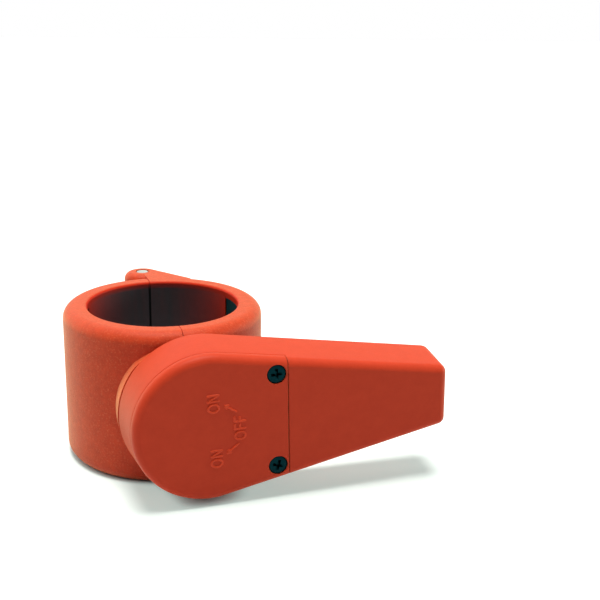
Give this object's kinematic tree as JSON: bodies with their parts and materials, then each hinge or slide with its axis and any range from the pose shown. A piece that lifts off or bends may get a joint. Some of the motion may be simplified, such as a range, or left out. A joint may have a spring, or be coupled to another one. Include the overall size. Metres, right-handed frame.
{
  "type": "barbell collar",
  "caption": "Hinged two-jaw bar collar with rubber pads and a radial lever whose cam draws the jaws together round a bar sleeve.",
  "frame": {"origin": "middle of the bore, half way between the two end faces", "axes": "+Z along the bore axis, +X along the locked lever's arm, hinge on the +Y side and lever on the -Y side"},
  "size_m": [0.1169, 0.0972, 0.0508],
  "materials": {
    "red_plastic": "fine spark texture",
    "pad_rubber": "matte",
    "bright_steel": "zinc plated",
    "black_steel": "black oxide",
    "brass": "turned",
    "white_plastic": "natural"
  },
  "bodies": {
    "fixed_jaw": {"jaw_right": "red_plastic", "hinge_pin": "bright_steel", "grip_pad_right": "pad_rubber", "pivot_insert": "brass", "pivot_bolt": "bright_steel", "pivot_washer": "bright_steel", "thrust_washer": "white_plastic"},
    "moving_jaw": {"jaw_left": "red_plastic", "grip_pad_left": "pad_rubber", "drive_peg": "bright_steel", "peg_bush": "bright_steel"},
    "lever": {"lever_body": "red_plastic", "pivot_sleeve": "brass", "cam_plate": "bright_steel", "cam_screws": "bright_steel", "lever_cover": "red_plastic", "cover_screws": "black_steel"}
  },
  "joints": [
    {"name": "lever_turn", "type": "hinge", "parent": "fixed_jaw", "child": "lever", "pos_m": [0, -0.036, 0], "axis": [0, -1, 0], "range_deg": [0, 88.1]},
    {"name": "jaw_open", "type": "hinge", "parent": "fixed_jaw", "child": "moving_jaw", "pos_m": [0, 0.04, 0], "axis": [0, 0, -1], "range_deg": [0, 2.2]}
  ],
  "couplings": [
    {"joint": "jaw_open", "follows": "lever_turn", "ratio": 0.02497}
  ]
}
